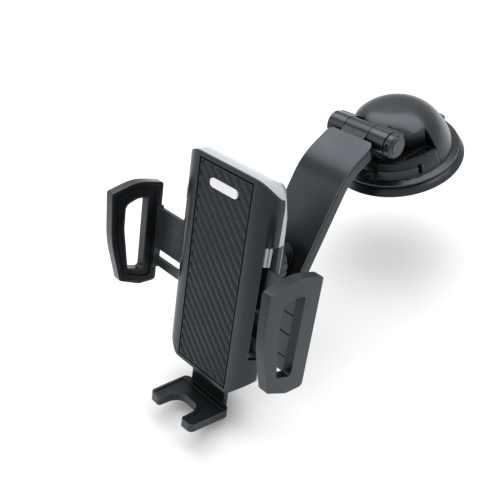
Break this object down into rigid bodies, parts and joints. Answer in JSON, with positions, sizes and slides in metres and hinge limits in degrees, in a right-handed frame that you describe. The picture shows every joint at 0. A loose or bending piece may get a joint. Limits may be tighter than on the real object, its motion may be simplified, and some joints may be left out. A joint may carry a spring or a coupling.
{
  "type": "car phone mount",
  "caption": "Suction cup car phone mount: lever lock base, hinged curved arm, ball joint and a cradle with sliding jaws, ribbed pad and forked foot.",
  "frame": {"origin": "centre of the suction face, where the base sticks to a surface", "axes": "+Z leaves that surface, +X is the arm's hinge axis and runs towards the knob, the cradle hangs in front of the base towards -Y"},
  "size_m": [0.1094, 0.2074, 0.1163],
  "materials": {
    "cup_rubber": "glossy moulded rubber",
    "gel": "tacky gel",
    "black_plastic": "fine satin, slightly worn edges",
    "dome_plastic": "satin gloss",
    "arm_plastic": "fine satin",
    "body_plastic": "fine satin, dark grey",
    "silver_plastic": "satin silver grey",
    "pad_rubber": "ribbed soft rubber",
    "badge_plastic": "blank and glossy",
    "steel": "bright zinc plated",
    "ball_metal": "smooth",
    "white_nylon": "natural nylon",
    "slider_plastic": "fine satin grey",
    "frame_plastic": "plain moulding"
  },
  "bodies": {
    "base": {"suction_cup": "cup_rubber", "gel_pad": "gel", "base_housing": "black_plastic", "hinge_nut": "steel", "hinge_washers": "steel", "lift_spring": "steel"},
    "stem": {"lock_stem": "black_plastic", "lever_pin": "steel"},
    "lever": {"lock_lever": "dome_plastic"},
    "knob": {"hinge_bolt": "steel", "hinge_knob": "black_plastic"},
    "arm": {"arm_shell": "arm_plastic", "arm_cover": "arm_plastic", "arm_screws": "steel", "ball_stud": "ball_metal"},
    "tilt_ring": {"seat_washer": "white_nylon"},
    "turn_ring": {"ball_liner": "white_nylon"},
    "cradle": {"ball_socket": "black_plastic", "socket_screws": "steel", "rear_shell": "silver_plastic", "front_shell": "body_plastic", "guide_bars": "silver_plastic", "grip_pad": "pad_rubber", "badge": "badge_plastic", "mid_frame": "frame_plastic", "frame_screws": "steel", "case_screws": "steel", "pinion_pin": "steel", "pawl_pin": "steel", "jaw_spring": "steel", "button_spring": "steel"},
    "nut": {"lock_nut": "black_plastic"},
    "gear": {"pinion": "white_nylon"},
    "left_arm": {"left_slider": "slider_plastic", "left_jaw": "black_plastic", "left_jaw_pad": "cup_rubber"},
    "right_arm": {"right_slider": "slider_plastic", "right_jaw": "body_plastic", "right_jaw_pad": "cup_rubber"},
    "support": {"foot": "black_plastic", "foot_pads": "pad_rubber"},
    "button": {"release_button": "black_plastic"},
    "catch": {"pawl": "white_nylon"}
  },
  "joints": [
    {"name": "stem_slide", "type": "slide", "parent": "base", "child": "stem", "axis": [0, 0, 1], "range_m": [-0.0026, 0], "deforming": ["lift_spring"]},
    {"name": "lever_turn", "type": "hinge", "parent": "stem", "child": "lever", "pos_m": [0, -0.0065, 0.0205], "axis": [1, 0, 0], "range_deg": [0, 60]},
    {"name": "knob_turn", "type": "hinge", "parent": "base", "child": "knob", "pos_m": [0, -0.0235, 0.0285], "axis": [1, 0, 0], "continuous": true},
    {"name": "arm_tilt", "type": "hinge", "parent": "base", "child": "arm", "pos_m": [0, -0.0235, 0.0285], "axis": [1, 0, 0], "range_deg": [-80, 15]},
    {"name": "ball_tilt", "type": "hinge", "parent": "arm", "child": "tilt_ring", "pos_m": [0, -0.1003, 0.001], "axis": [1, 0, 0], "range_deg": [-15, 15]},
    {"name": "ball_swivel", "type": "hinge", "parent": "tilt_ring", "child": "turn_ring", "pos_m": [0, -0.1003, 0.001], "axis": [0, 0.4226, 0.9063], "range_deg": [-15, 15]},
    {"name": "ball_roll", "type": "hinge", "parent": "turn_ring", "child": "cradle", "pos_m": [0, -0.1003, 0.001], "axis": [0, 0.9063, -0.4226], "continuous": true},
    {"name": "nut_turn", "type": "hinge", "parent": "cradle", "child": "nut", "pos_m": [0, -0.1003, 0.001], "axis": [0, 0.9063, -0.4226], "continuous": true},
    {"name": "left_slide", "type": "slide", "parent": "cradle", "child": "left_arm", "axis": [1, 0, 0], "range_m": [0, 0.019], "deforming": ["jaw_spring"]},
    {"name": "right_slide", "type": "slide", "parent": "cradle", "child": "right_arm", "axis": [-1, 0, 0], "range_m": [0, 0.0191]},
    {"name": "gear_turn", "type": "hinge", "parent": "cradle", "child": "gear", "pos_m": [0, -0.1206, 0.01047], "axis": [0, 0.9063, -0.4226], "range_deg": [0, 172]},
    {"name": "foot_slide", "type": "slide", "parent": "cradle", "child": "support", "axis": [0, 0.4226, 0.9063], "range_m": [-0.005, 0.012]},
    {"name": "button_press", "type": "slide", "parent": "cradle", "child": "button", "axis": [1, 0, 0], "range_m": [0, 0.002], "stiffness_N_per_m": 300, "springref_m": -0.001, "deforming": ["button_spring"]},
    {"name": "catch_lift", "type": "hinge", "parent": "cradle", "child": "catch", "pos_m": [-0.012, -0.11031, 0.02994], "axis": [0, 0.9063, -0.4226], "range_deg": [0, 14.5]}
  ],
  "couplings": [
    {"joint": "stem_slide", "follows": "lever_turn", "m_per_rad": -0.0023873},
    {"joint": "right_slide", "follows": "left_slide", "ratio": 1},
    {"joint": "gear_turn", "follows": "left_slide", "rad_per_m": 156.25},
    {"joint": "catch_lift", "follows": "button_press", "rad_per_m": 125}
  ]
}
